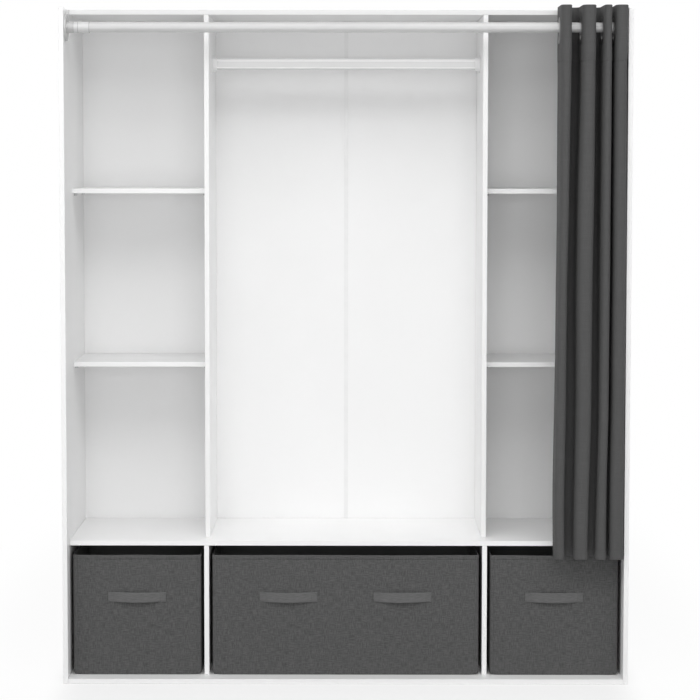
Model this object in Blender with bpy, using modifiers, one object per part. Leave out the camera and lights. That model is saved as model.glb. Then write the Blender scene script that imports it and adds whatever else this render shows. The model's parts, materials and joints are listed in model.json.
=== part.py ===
"""An open wardrobe with four shelves, a hanging rail, an eyelet curtain on a rod and three pull-out bins.

Metres, +Z up. The front faces -Y. The origin is on the floor, under the middle of the carcass.
"""

import math

import bmesh
import bpy
from mathutils import Matrix, Vector

# Carcass boards
overall_width = 1.400
overall_height = 1.668
overall_depth = 0.388
board = 0.012
edge_round = 0.0005
fit_gap = 0.0003
bin_bay_height = 0.326
side_bay_width = 0.3355
lower_setback = 0.046
upper_setback = 0.100
shelf_setback = 0.149
shelf_gap = 0.4253
shelves_per_bay = 2

# Back sheets and the strip that joins them
back_sheet = 0.003
back_inset = 0.001
strip_width = 0.0105
strip_skin = 0.0008
strip_web = 0.001
strip_notch_gap = 0.001

# Screws
screw_neck_radius = 0.0035
screw_shank_radius = 0.0025
screw_length = 0.045
screw_from_edge = 0.045
small_screw_radius = 0.0017
small_screw_head_radius = 0.0033
small_screw_head = 0.0012
small_screw_bite = 0.008
cut_overrun = 0.004
weld_distance = 0.00001

# Hanging rail
rail_height = 0.030
rail_thickness = 0.015
rail_wall = 0.0012
rail_drop = 0.1163
rail_setback = 0.242
socket_wall = 0.002
socket_depth = 0.010
socket_base = 0.002
socket_flange_rim = 0.005
socket_peg_radius = 0.0025
socket_peg_length = 0.008
socket_peg_spacing = 0.016
rail_end_gap = 0.003

# Curtain rod
rod_radius = 0.0125
rod_wall = 0.0012
rod_setback = 0.039
rod_drop = 0.0345
flange_radius = 0.034
flange_thickness = 0.0045
collar_wall = 0.0011
collar_length = 0.0197
grip_ring_length = 0.011
sleeve_length = 0.0283
sleeve_step = 0.0002
flange_screw_circle = 0.024

# Curtain: the places of the eight legs are shares of the width of the stack, from its right end
cloth_thickness = 0.0016
header_rise = 0.0495
hem_clearance = 0.001
stack_width = 0.1557
stack_end_gap = 0.0092
fold_front = 0.0602
fold_back = 0.0572
low_fold_front_gap = 0.0212
low_fold_back_gap = 0.0045
flat_header = 0.036
hem_flare = 0.080
header_leg_shares = (1.000, 0.841, 0.660, 0.473, 0.323, 0.224, 0.143, 0.000)
middle_leg_shares = (1.014, 0.898, 0.719, 0.504, 0.344, 0.221, 0.145, -0.034)
low_leg_shares = (1.054, 0.898, 0.735, 0.528, 0.384, 0.236, 0.160, -0.034)
hem_leg_shares = (1.023, 0.898, 0.735, 0.528, 0.384, 0.236, 0.160, -0.034)
middle_height_share = 0.55
lobe_steps = 6

# Eyelets
eyelet_radius = 0.033
eyelet_bore_radius = 0.022
eyelet_barrel_wall = 0.0012
eyelet_skin = 0.0012
eyelet_hang_gap = 0.0005
cloth_bore_gap = 0.0005

# Bins
bin_height = 0.302
bin_depth = 0.320
bin_setback = 0.047
bin_side_gap = 0.0088
bin_wall = 0.003
bin_corner_radius = 0.006
bin_base_thickness = 0.003
handle_length = 0.144
handle_height = 0.0245
handle_thickness = 0.002
handle_drop = 0.1055
handle_standoff = 0.009
handle_sewn_length = 0.016
middle_handle_spacing = 0.2845

# Sides of the round pieces
rod_sides = 24
flange_sides = 26
eyelet_sides = 16
fastener_sides = 8
corner_steps = 3

# Colour, roughness and metallic value of each finish
finishes = {
    "white_board": ((0.88, 0.88, 0.88), 0.45, 0.0),
    "white_back": ((0.84, 0.84, 0.84), 0.60, 0.0),
    "white_plastic": ((0.86, 0.86, 0.86), 0.40, 0.0),
    "white_steel": ((0.82, 0.82, 0.82), 0.30, 0.0),
    "steel": ((0.62, 0.62, 0.63), 0.28, 1.0),
    "curtain_cloth": ((0.090, 0.090, 0.090), 0.90, 0.0),
    "bin_cloth": ((0.075, 0.077, 0.078), 0.95, 0.0),
    "bin_strap": ((0.115, 0.115, 0.115), 0.85, 0.0),
    "grey_board": ((0.20, 0.20, 0.20), 0.90, 0.0),
}

# Places that follow from the sizes
front = -overall_depth / 2
side_outer = overall_width / 2
side_inner = side_outer - board
back_front = overall_depth / 2 - back_sheet
board_rear = back_front - fit_gap
lower_inner = side_inner - side_bay_width
middle_low = board + bin_bay_height
middle_high = middle_low + board
top_low = overall_height - board
rod_height = top_low - rod_drop
rod_y = front + rod_setback
rail_z = top_low - rail_drop
rail_y = front + rail_setback
fitting_radius = rod_radius + fit_gap + collar_wall
eyelet_half = cloth_thickness / 2 + fit_gap + eyelet_skin
eyelet_height = rod_height + fitting_radius + eyelet_hang_gap - eyelet_bore_radius
header_top = rod_height + header_rise
bin_floor = board + fit_gap
bin_top = bin_floor + bin_height
hem_height = bin_top + hem_clearance
bin_front = front + bin_setback
stack_right = side_inner - stack_end_gap

parts = None
cutters = None


def clear_scene():
    for obj in list(bpy.data.objects):
        bpy.data.objects.remove(obj, do_unlink=True)


def make_collections():
    global parts, cutters
    parts = bpy.data.collections.new("curtain_wardrobe")
    cutters = bpy.data.collections.new("cutters")
    for collection in (parts, cutters):
        bpy.context.scene.collection.children.link(collection)


def y_at(setback):
    """The place of something that lies this far behind the side panels' front edges."""
    return front + setback


def material_for(name, finish):
    colour, roughness, metallic = finishes[finish]
    material = bpy.data.materials.new(name + "_" + finish)
    material.use_nodes = True
    shader = material.node_tree.nodes["Principled BSDF"]
    shader.inputs["Base Color"].default_value = (*colour, 1)
    shader.inputs["Roughness"].default_value = roughness
    shader.inputs["Metallic"].default_value = metallic
    return material


def add_part(name, mesh, finish, place=(0, 0, 0), parent=None):
    """Puts a mesh in the parts collection, with its origin at place in the world."""
    obj = bpy.data.objects.new(name, mesh)
    parts.objects.link(obj)
    obj.location = place
    if parent:
        obj.parent = parent
        obj.location = Vector(place) - parent.location
    if not mesh.materials:
        mesh.materials.append(material_for(name, finish))
    return obj


def add_cutter(name, mesh, place=(0, 0, 0)):
    obj = bpy.data.objects.new(name, mesh)
    cutters.objects.link(obj)
    obj.location = place
    obj.hide_render = True
    obj.display_type = "WIRE"
    return obj


def cut(obj, cutter):
    modifier = obj.modifiers.new(cutter.name, "BOOLEAN")
    modifier.operation = "DIFFERENCE"
    modifier.object = cutter


def joint_empty(name, place):
    """An empty on a joint's axis, which carries the pieces that move with it."""
    empty = bpy.data.objects.new(name, None)
    parts.objects.link(empty)
    empty.location = place
    return empty


def mesh_from(bm, name, smooth=False):
    mesh = bpy.data.meshes.new(name)
    bm.to_mesh(mesh)
    bm.free()
    if smooth:
        mesh.shade_smooth()
        mesh.set_sharp_from_angle(angle=math.radians(40))
    return mesh


def cube(size):
    bm = bmesh.new()
    bmesh.ops.create_cube(bm, size=1, matrix=Matrix.Diagonal((*size, 1)))
    return bm


def add_board(name, low, high, finish="white_board"):
    """A board from its lowest to its highest corner, with its edges eased."""
    low = Vector(low)
    high = Vector(high)
    obj = add_part(name, mesh_from(cube(high - low), name), finish, (low + high) / 2)
    bevel = obj.modifiers.new("eased edges", "BEVEL")
    bevel.width = edge_round
    bevel.segments = 1
    return obj


def box_cutter(name, low, high):
    low = Vector(low)
    high = Vector(high)
    return add_cutter(name, mesh_from(cube(high - low), name), (low + high) / 2)


def turn(obj, profile, way, sides):
    """Turns a profile about an axis along X with a Screw modifier. Its (radius, height) points run from
    the top's centre down to the bottom's, or once round a ring's section, and the top points to +X where
    way is 1 and to -X where it is -1."""
    bm = bmesh.new()
    points = [bm.verts.new((radius, 0, height)) for radius, height in profile]
    pairs = list(zip(points, points[1:]))
    if profile[-1][0] > 0:
        pairs.append((points[-1], points[0]))
    for pair in pairs:
        bm.edges.new(pair)
    bm.to_mesh(obj.data)
    bm.free()
    obj.rotation_euler = (0, way * math.pi / 2, 0)
    screw = obj.modifiers.new("turn", "SCREW")
    screw.steps = sides
    screw.render_steps = sides
    screw.use_merge_vertices = True
    screw.merge_threshold = weld_distance
    screw.use_smooth_shade = True


def add_turned(name, profile, finish, place, way, sides):
    obj = add_part(name, bpy.data.meshes.new(name), finish, place)
    turn(obj, profile, way, sides)
    return obj


def turned_cutter(name, profile, place, way):
    obj = add_cutter(name, bpy.data.meshes.new(name), place)
    turn(obj, profile, way, fastener_sides)
    return obj


def wider(profile, top_gap, bottom_gap):
    """The profile of a fastener's hole: fit_gap wider, and longer at each end by the gap given."""
    top = profile[0][1]
    bottom = profile[-1][1]
    hole = []
    for radius, height in profile:
        gap = top_gap if height == top else -bottom_gap if height == bottom else 0
        hole.append((radius + fit_gap if radius > 0 else 0, height + gap))
    return hole


def add_screw(name, profile, place, way, through, top_gap):
    """A screw, and its hole in each piece that it goes through."""
    add_turned(name, profile, "steel", place, way, fastener_sides)
    hole = turned_cutter(name + "_hole", wider(profile, top_gap, fit_gap), place, way)
    for obj in through:
        cut(obj, hole)


def headed_profile(head_radius, head, shank_radius, shank):
    """A headed fastener: the head stands on the height 0, and the shank goes down from it."""
    return [
        (0, head),
        (head_radius, head),
        (head_radius, 0),
        (shank_radius, 0),
        (shank_radius, -shank),
        (0, -shank),
    ]


def make_outer_boards():
    """Side panels from floor to top, and the three long boards between them."""
    boards = {}
    for name, side in (("left", -1), ("right", 1)):
        near, far = sorted((side * side_inner, side * side_outer))
        boards[name + "_side_panel"] = add_board(
            name + "_side_panel", (near, front, 0), (far, board_rear, overall_height)
        )
    reach = side_inner - fit_gap
    for name, low, setback in (
        ("bottom_board", 0, 0),
        ("middle_board", middle_low, lower_setback),
        ("top_board", top_low, upper_setback),
    ):
        boards[name] = add_board(
            name, (-reach, y_at(setback), low), (reach, board_rear, low + board)
        )
    return boards


def make_uprights():
    """Lower partitions between the bins, and dividers above them at the same places."""
    boards = {}
    for name, side in (("left", -1), ("right", 1)):
        near, far = sorted((side * (lower_inner - board), side * lower_inner))
        for kind, setback, low, high in (
            ("partition", lower_setback, board, middle_low),
            ("divider", upper_setback, middle_high, top_low),
        ):
            boards[name + "_" + kind] = add_board(
                name + "_" + kind,
                (near, y_at(setback), low + fit_gap),
                (far, board_rear, high - fit_gap),
            )
    return boards


def shelf_top(level):
    return middle_high + (level + 1) * (shelf_gap + board)


def make_shelves():
    for name, side in (("left", -1), ("right", 1)):
        near, far = sorted((side * (lower_inner + fit_gap), side * (side_inner - fit_gap)))
        for level in range(shelves_per_bay):
            top = shelf_top(level)
            add_board(
                f"{name}_shelf_{level + 1}",
                (near, y_at(shelf_setback), top - board),
                (far, board_rear, top),
            )


def make_back():
    """Two sheets on the boards' rear edges, with a strip between them that grips both."""
    outer = side_outer - back_inset
    inner = strip_web / 2 + fit_gap
    for name, side in (("left", -1), ("right", 1)):
        near, far = sorted((side * inner, side * outer))
        add_part(
            name + "_back_sheet",
            mesh_from(
                cube((far - near, back_sheet, overall_height - 2 * back_inset)), name
            ),
            "white_back",
            ((near + far) / 2, back_front + back_sheet / 2, overall_height / 2),
        )
    strip_height = overall_height - 2 * back_inset
    grip = back_sheet / 2 + fit_gap
    bm = bmesh.new()
    outline = []
    for x, y in (
        (strip_width / 2, grip + strip_skin),
        (strip_width / 2, grip),
        (strip_web / 2, grip),
    ):
        outline.append((x, y))
    corner = outline + [(x, -y) for x, y in reversed(outline)]
    corner += [(-x, -y) for x, y in outline] + [(-x, y) for x, y in reversed(outline)]
    rim = [bm.verts.new((x, y, -strip_height / 2)) for x, y in corner]
    face = bm.faces.new(rim)
    raised = bmesh.ops.extrude_face_region(bm, geom=[face])["geom"]
    verts = [item for item in raised if isinstance(item, bmesh.types.BMVert)]
    bmesh.ops.translate(bm, verts=verts, vec=(0, 0, strip_height))
    bmesh.ops.recalc_face_normals(bm, faces=bm.faces)
    add_part(
        "back_joining_strip",
        mesh_from(bm, "back_joining_strip"),
        "white_plastic",
        (0, back_front + back_sheet / 2, overall_height / 2),
    )


def notch_for_strip(boards):
    """The long boards are notched at their rear edges, where the strip's inner skin passes."""
    reach = strip_width / 2 + strip_notch_gap
    notch = box_cutter(
        "strip_notch",
        (-reach, back_front - fit_gap - strip_skin - strip_notch_gap, -cut_overrun),
        (reach, back_front + back_sheet, overall_height + cut_overrun),
    )
    for name in ("bottom_board", "middle_board", "top_board"):
        cut(boards[name], notch)


def make_assembly_screws(boards):
    """Screws through the side panels into the long boards' ends."""
    profile = headed_profile(
        screw_neck_radius,
        board - fit_gap,
        screw_shank_radius,
        screw_length - board,
    )
    for side_name, side in (("left", -1), ("right", 1)):
        panel = boards[side_name + "_side_panel"]
        for level, low, setback in (
            ("bottom", 0, 0),
            ("middle", middle_low, lower_setback),
            ("top", top_low, upper_setback),
        ):
            for end, y in (
                ("front", y_at(setback) + screw_from_edge),
                ("rear", board_rear - screw_from_edge),
            ):
                add_screw(
                    f"{side_name}_{level}_{end}_screw",
                    profile,
                    (side * side_inner, y, low + board / 2),
                    side,
                    (panel, boards[level + "_board"]),
                    cut_overrun,
                )


def long_edges(bm, axis):
    """The edges of bm that run along an axis."""
    found = []
    for edge in bm.edges:
        line = edge.verts[1].co - edge.verts[0].co
        if abs(line[axis]) > 0.999 * line.length:
            found.append(edge)
    return found


def rounded_bar(size, axis, radius, steps, open_faces=()):
    """A bar along axis with its long edges rounded. open_faces are directions whose face is left out."""
    bm = cube(size)
    bmesh.ops.bevel(
        bm,
        geom=long_edges(bm, axis),
        offset=radius,
        segments=steps,
        profile=0.5,
        affect="EDGES",
    )
    bm.normal_update()
    left_out = [
        face
        for face in bm.faces
        if any(face.normal.dot(Vector(way)) > 0.999 for way in open_faces)
    ]
    bmesh.ops.delete(bm, geom=left_out, context="FACES")
    return bm


def oval_bar(length, size, open_ends=False):
    """A flat-oval bar along X, with its size in Y and Z. A tube's bar is open at its ends."""
    return rounded_bar(
        (length, *size),
        0,
        0.98 * size[0] / 2,
        corner_steps + 1,
        open_faces=((1, 0, 0), (-1, 0, 0)) if open_ends else (),
    )


def joined(obj, other):
    modifier = obj.modifiers.new(other.name, "BOOLEAN")
    modifier.operation = "UNION"
    modifier.object = other


def make_rail_socket(name, side, divider):
    """A flat-oval cup on a base plate, with two moulded pegs that press into the divider."""
    wall = side * (lower_inner - board - fit_gap)
    pocket_size = (rail_thickness + 2 * fit_gap, rail_height + 2 * fit_gap)
    cup_size = [size + 2 * socket_wall for size in pocket_size]
    plate_size = [size + 2 * socket_flange_rim for size in cup_size]
    cup_length = socket_base + socket_depth
    pocket_length = socket_depth + cut_overrun

    def placed(length, from_wall):
        return (wall - side * (from_wall + length / 2), rail_y, rail_z)

    socket = add_part(
        name,
        mesh_from(oval_bar(cup_length, cup_size), name, smooth=True),
        "white_plastic",
        placed(cup_length, 0),
    )
    plate = add_cutter(
        name + "_plate",
        mesh_from(oval_bar(socket_base, plate_size), name + "_plate"),
        placed(socket_base, 0),
    )
    pocket = add_cutter(
        name + "_pocket",
        mesh_from(oval_bar(pocket_length, pocket_size), name + "_pocket"),
        placed(pocket_length, socket_base),
    )
    joined(socket, plate)
    peg_profile = [
        (0, socket_peg_length),
        (socket_peg_radius, socket_peg_length),
        (socket_peg_radius, -socket_base / 2),
        (0, -socket_base / 2),
    ]
    for end, way in (("upper", 1), ("lower", -1)):
        place = (wall, rail_y, rail_z + way * socket_peg_spacing / 2)
        peg = turned_cutter(f"{name}_{end}_peg", peg_profile, place, side)
        joined(socket, peg)
        hole_profile = wider(peg_profile, fit_gap, 0)
        hole = turned_cutter(f"{name}_{end}_peg_hole", hole_profile, place, side)
        cut(divider, hole)
    cut(socket, pocket)


def make_hanging_rail(boards):
    """A flat-oval tube in a socket on each divider."""
    bay_half = lower_inner - board
    rail_half = bay_half - socket_base - rail_end_gap - fit_gap
    bar = oval_bar(2 * rail_half, (rail_thickness, rail_height), open_ends=True)
    rail = add_part(
        "hanging_rail",
        mesh_from(bar, "hanging_rail", smooth=True),
        "white_steel",
        (0, rail_y, rail_z),
    )
    wall = rail.modifiers.new("wall", "SOLIDIFY")
    wall.thickness = rail_wall
    wall.offset = -1
    for name, side in (("left", -1), ("right", 1)):
        make_rail_socket(name + "_rail_socket", side, boards[name + "_divider"])


def make_curtain_rod(boards):
    """A round tube across the front, in a flange with a collar and a sleeve at each end."""
    rod_half = side_inner - flange_thickness - 2 * fit_gap
    bm = bmesh.new()
    bmesh.ops.create_cone(
        bm,
        cap_ends=False,
        segments=rod_sides,
        radius1=rod_radius,
        radius2=rod_radius,
        depth=2 * rod_half,
        matrix=Matrix.Rotation(math.pi / 2, 4, "Y"),
    )
    rod = add_part(
        "curtain_rod",
        mesh_from(bm, "curtain_rod", smooth=True),
        "white_steel",
        (0, rod_y, rod_height),
    )
    wall = rod.modifiers.new("wall", "SOLIDIFY")
    wall.thickness = rod_wall
    wall.offset = -1

    bore = rod_radius + fit_gap
    flange_profile = [
        (0, flange_thickness),
        (bore, flange_thickness),
        (bore, collar_length),
        (fitting_radius, collar_length),
        (fitting_radius, flange_thickness),
        (flange_radius - edge_round, flange_thickness),
        (flange_radius, flange_thickness - edge_round),
        (flange_radius, 0),
        (0, 0),
    ]
    sleeve_radius = fitting_radius - sleeve_step
    sleeve_profile = [
        (bore, sleeve_length + grip_ring_length),
        (sleeve_radius, sleeve_length + grip_ring_length),
        (sleeve_radius, grip_ring_length),
        (fitting_radius, grip_ring_length),
        (fitting_radius, 0),
        (bore, 0),
    ]
    screw_profile = headed_profile(
        small_screw_head_radius,
        small_screw_head,
        small_screw_radius,
        flange_thickness + small_screw_bite,
    )
    for name, side in (("left", -1), ("right", 1)):
        foot = (side * (side_inner - fit_gap), rod_y, rod_height)
        flange = add_turned(
            name + "_rod_flange", flange_profile, "white_steel", foot, -side, flange_sides
        )
        seat = (side * (side_inner - 2 * fit_gap - collar_length), rod_y, rod_height)
        add_turned(
            name + "_rod_sleeve", sleeve_profile, "white_steel", seat, -side, flange_sides
        )
        x = side * (side_inner - flange_thickness - 2 * fit_gap)
        for end, way in (("front", -1), ("rear", 1)):
            add_screw(
                f"{name}_flange_{end}_screw",
                screw_profile,
                (x, rod_y + way * flange_screw_circle, rod_height),
                -side,
                (flange, boards[name + "_side_panel"]),
                fit_gap,
            )


def leg_x(leg, height):
    """Where a leg of the folds is, seen from the front, at this height."""
    middle = hem_height + middle_height_share * (header_top - hem_height)
    low = hem_height + hem_flare
    flat_low = eyelet_height - flat_header
    levels = (
        (hem_height, hem_leg_shares),
        (low, low_leg_shares),
        (middle, middle_leg_shares),
        (flat_low, header_leg_shares),
        (header_top, header_leg_shares),
    )
    share = levels[-1][1][leg]
    for (below, shares_below), (above, shares_above) in zip(levels, levels[1:]):
        if below <= height <= above:
            t = (height - below) / (above - below)
            share = shares_below[leg] + t * (shares_above[leg] - shares_below[leg])
            break
    return stack_right - share * stack_width


def fold_reach(height):
    """(front, back) places in Y of the folds' ends. The header is as deep as its eyelets need,
    and lower down the folds come forward to pass in front of the middle board."""
    flat_low = eyelet_height - flat_header
    low = middle_high
    t = min(max((height - low) / (flat_low - low), 0), 1)
    front_low = y_at(-low_fold_front_gap)
    back_low = y_at(lower_setback - low_fold_back_gap)
    return (
        front_low + t * (rod_y - fold_front - front_low),
        back_low + t * (rod_y + fold_back - back_low),
    )


def fold_point(leg, turn, height):
    """A point of the cloth: turn 0 is the middle of the leg, and 1 the middle of the next leg."""
    ahead, behind = fold_reach(height)
    flat_share = flat_header / max(fold_front, fold_back)
    middle = behind + (ahead - behind) * fold_back / (fold_front + fold_back)
    end = ahead if leg % 2 == 0 else behind
    here = leg_x(leg, height)
    there = leg_x(leg + 1, height)
    bend = flat_share + (1 - flat_share) * math.sin(math.pi * turn)
    across = (1 - math.cos(math.pi * turn)) / 2
    return (here + (there - here) * across, middle + (end - middle) * bend, height)


def tail_point(leg, reach, height):
    """A point of the cloth's edge beyond its first or last leg, which ends at the back of the folds."""
    ahead, behind = fold_reach(height)
    middle = behind + (ahead - behind) * fold_back / (fold_front + fold_back)
    return (leg_x(leg, height), middle + (behind - middle) * reach, height)


def cloth_columns(height):
    """The cloth's points at one height, from its leading edge to its trailing edge."""
    legs = len(header_leg_shares)
    row = [tail_point(0, 1, height)]
    for leg in range(legs - 1):
        row += [
            fold_point(leg, step / lobe_steps, height)
            for step in range(lobe_steps + 1)
        ]
    row.append(tail_point(legs - 1, 1, height))
    return row


def make_curtain_cloth(parent):
    """The cloth in its main folds, with a hole for each eyelet."""
    rows = [
        cloth_columns(height)
        for height in (
            hem_height,
            hem_height + hem_flare,
            hem_height + middle_height_share * (header_top - hem_height),
            eyelet_height - flat_header,
            header_top,
        )
    ]
    bm = bmesh.new()
    grid = [[bm.verts.new(point) for point in row] for row in rows]
    for lower, upper in zip(grid, grid[1:]):
        for corners in zip(lower, lower[1:], upper[1:], upper):
            bm.faces.new(corners)
    bm.transform(Matrix.Translation(-parent.location))
    cloth = add_part(
        "curtain_cloth",
        mesh_from(bm, "curtain_cloth", smooth=True),
        "curtain_cloth",
        parent.location,
        parent,
    )
    thick = cloth.modifiers.new("thickness", "SOLIDIFY")
    thick.thickness = cloth_thickness
    thick.offset = 0
    thick.use_even_offset = True

    bore = bmesh.new()
    radius = eyelet_bore_radius + eyelet_barrel_wall + cloth_bore_gap
    length = stack_width + 2 * eyelet_half + 2 * fit_gap
    bmesh.ops.create_cone(
        bore,
        cap_ends=True,
        segments=rod_sides,
        radius1=radius,
        radius2=radius,
        depth=length,
        matrix=Matrix.Rotation(math.pi / 2, 4, "Y"),
    )
    holes = add_cutter(
        "eyelet_holes",
        mesh_from(bore, "eyelet_holes"),
        (stack_right - stack_width / 2, rod_y, eyelet_height),
    )
    cut(cloth, holes)


def make_eyelets():
    """Eyelets on the rod, from the leading one on the left to the trailing one on the right."""
    barrel = eyelet_bore_radius + eyelet_barrel_wall
    inner = eyelet_half - eyelet_skin
    profile = [
        (eyelet_bore_radius, eyelet_half),
        (eyelet_radius, eyelet_half),
        (eyelet_radius, inner),
        (barrel, inner),
        (barrel, -inner),
        (eyelet_radius, -inner),
        (eyelet_radius, -eyelet_half),
        (eyelet_bore_radius, -eyelet_half),
    ]
    for leg in range(len(header_leg_shares)):
        place = (leg_x(leg, header_top), rod_y, eyelet_height)
        add_turned(f"eyelet_{leg + 1}", profile, "steel", place, 1, eyelet_sides)


def make_curtain():
    lead = joint_empty(
        "curtain_draw_axis", Vector((leg_x(0, header_top), rod_y, eyelet_height))
    )
    make_curtain_cloth(lead)
    make_eyelets()


def handle_outline():
    """(x, standoff) points of a strap: sewn flat at both ends and slack between them."""
    flat = handle_length / 2 - handle_sewn_length
    near = fit_gap + handle_thickness / 2
    points = [(-handle_length / 2, near)]
    steps = 12
    for step in range(steps + 1):
        share = step / steps
        rise = math.sin(math.pi * share) ** 0.6
        points.append((flat * (2 * share - 1), near + (handle_standoff - near) * rise))
    points.append((handle_length / 2, near))
    return points


def make_handle(name, x, parent):
    bm = bmesh.new()
    low = -handle_height / 2
    rows = [
        [bm.verts.new((px, -standoff, z)) for px, standoff in handle_outline()]
        for z in (low, low + handle_height)
    ]
    for corners in zip(rows[0], rows[0][1:], rows[1][1:], rows[1]):
        bm.faces.new(corners)
    handle = add_part(
        name,
        mesh_from(bm, name, smooth=True),
        "bin_strap",
        (x, bin_front, bin_top - handle_drop),
        parent,
    )
    thick = handle.modifiers.new("strap thickness", "SOLIDIFY")
    thick.thickness = handle_thickness
    thick.offset = 0


def make_bin(name, centre, width, handles):
    """An open sewn box with a stiff base insert and strap handles, which slides out on the bottom board."""
    slide = joint_empty(
        name + "_slide_axis", Vector((centre, bin_front + bin_depth / 2, bin_floor))
    )
    shell = add_part(
        name + "_shell",
        mesh_from(
            rounded_bar(
                (width, bin_depth, bin_height),
                2,
                bin_corner_radius,
                corner_steps,
                open_faces=((0, 0, 1),),
            ),
            name,
            smooth=True,
        ),
        "bin_cloth",
        (centre, bin_front + bin_depth / 2, bin_floor + bin_height / 2),
        slide,
    )
    wall = shell.modifiers.new("wall", "SOLIDIFY")
    wall.thickness = bin_wall
    wall.offset = -1
    wall.use_even_offset = True
    inset = 2 * (bin_wall + fit_gap)
    insert = rounded_bar(
        (width - inset, bin_depth - inset, bin_base_thickness),
        2,
        bin_corner_radius - bin_wall - fit_gap,
        corner_steps,
    )
    add_part(
        name + "_base_insert",
        mesh_from(insert, name + "_base_insert"),
        "grey_board",
        (
            centre,
            bin_front + bin_depth / 2,
            bin_floor + bin_wall + fit_gap + bin_base_thickness / 2,
        ),
        slide,
    )
    for label, x in handles:
        make_handle(label, centre + x, slide)


def make_bins():
    side_width = side_bay_width - 2 * bin_side_gap
    middle_width = 2 * (lower_inner - board) - 2 * bin_side_gap
    side_centre = lower_inner + side_bay_width / 2
    make_bin("left_bin", -side_centre, side_width, [("left_bin_handle", 0)])
    make_bin("right_bin", side_centre, side_width, [("right_bin_handle", 0)])
    half = middle_handle_spacing / 2
    make_bin(
        "middle_bin",
        0,
        middle_width,
        [("middle_bin_left_handle", -half), ("middle_bin_right_handle", half)],
    )


def main():
    clear_scene()
    make_collections()
    boards = make_outer_boards()
    boards.update(make_uprights())
    make_shelves()
    make_back()
    notch_for_strip(boards)
    make_assembly_screws(boards)
    make_hanging_rail(boards)
    make_curtain_rod(boards)
    make_curtain()
    make_bins()


main()
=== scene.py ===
"""Looks of the curtain wardrobe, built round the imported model.

Metres, +Z up, the front faces -Y. The origin is on the floor, under the middle of the carcass.
"""

import json
import math

import bmesh
import bpy
import numpy as np
from mathutils import Matrix, Vector


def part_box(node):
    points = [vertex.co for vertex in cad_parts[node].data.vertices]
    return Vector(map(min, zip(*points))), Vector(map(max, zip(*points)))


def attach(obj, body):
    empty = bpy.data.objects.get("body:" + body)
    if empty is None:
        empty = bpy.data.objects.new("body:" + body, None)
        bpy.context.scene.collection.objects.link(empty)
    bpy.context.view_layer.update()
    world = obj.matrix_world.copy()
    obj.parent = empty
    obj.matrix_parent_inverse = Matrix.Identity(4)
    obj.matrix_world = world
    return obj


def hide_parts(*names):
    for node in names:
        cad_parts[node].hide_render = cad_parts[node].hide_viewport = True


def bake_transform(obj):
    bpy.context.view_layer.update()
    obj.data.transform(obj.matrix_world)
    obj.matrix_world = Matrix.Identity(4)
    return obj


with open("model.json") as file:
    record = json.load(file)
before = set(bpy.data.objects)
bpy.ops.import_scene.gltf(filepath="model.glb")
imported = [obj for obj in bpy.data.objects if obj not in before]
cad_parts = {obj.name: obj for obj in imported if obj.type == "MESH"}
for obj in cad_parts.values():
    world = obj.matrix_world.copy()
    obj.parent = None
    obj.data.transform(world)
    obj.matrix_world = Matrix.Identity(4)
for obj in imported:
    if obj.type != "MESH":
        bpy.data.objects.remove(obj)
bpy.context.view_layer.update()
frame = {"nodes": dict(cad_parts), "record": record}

MM = 0.001
BOARDS = [
    "left_side_panel", "right_side_panel", "bottom_board", "middle_board", "top_board",
    "left_partition", "right_partition", "left_divider", "right_divider",
    "left_shelf_1", "left_shelf_2", "right_shelf_1", "right_shelf_2",
]
SLOT_OF = {part["node"]: part["material_slot"] for part in frame["record"]["subparts"]}
WHITE = (1, 1, 1, 1)


def grey(level, warm=0.0):
    """A grey as it looks on screen, from 0 to 1, made linear. warm leans it to yellow."""
    def linear(value):
        return value / 12.92 if value <= 0.04045 else ((value + 0.055) / 1.055) ** 2.4
    return (linear(level + warm), linear(level), linear(level - warm), 1)


# ---------------------------------------------------------------- finishes

class Value:
    """An output of a node. Arithmetic on it adds Math nodes."""

    def __init__(self, nodes, socket):
        self.nodes = nodes
        self.socket = socket

    def math(self, operation, *others):
        return self.nodes.math(operation, self, *others)

    def __add__(self, other):
        return self.math("ADD", other)

    __radd__ = __add__

    def __sub__(self, other):
        return self.math("SUBTRACT", other)

    def __rsub__(self, other):
        return self.nodes.math("SUBTRACT", other, self)

    def __mul__(self, other):
        return self.math("MULTIPLY", other)

    __rmul__ = __mul__

    def __abs__(self):
        return self.math("ABSOLUTE")


class Nodes:
    """A node tree being made."""

    def __init__(self, tree):
        self.tree = tree
        tree.nodes.clear()

    def node(self, kind, settings=None, sockets=None, out=0):
        """Adds a node: its settings, then the values or links of its sockets. Returns one of its outputs."""
        node = self.tree.nodes.new(kind)
        for key, value in (settings or {}).items():
            setattr(node, key, value)
        for key, value in (sockets or {}).items():
            if isinstance(value, Value):
                self.tree.links.new(value.socket, node.inputs[key])
            else:
                node.inputs[key].default_value = value
        return Value(self, node.outputs[out]) if len(node.outputs) else None

    def math(self, operation, *values):
        return self.node("ShaderNodeMath", {"operation": operation}, dict(enumerate(values)))

    def looked_at(self):
        """1 for rays from the camera and for those off glossy or through clear things, else 0."""
        kinds = ("Is Camera Ray", "Is Glossy Ray", "Is Transmission Ray")
        camera, glossy, through = (self.node("ShaderNodeLightPath", out=kind) for kind in kinds)
        return self.math("MAXIMUM", camera, self.math("MAXIMUM", glossy, through))


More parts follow.
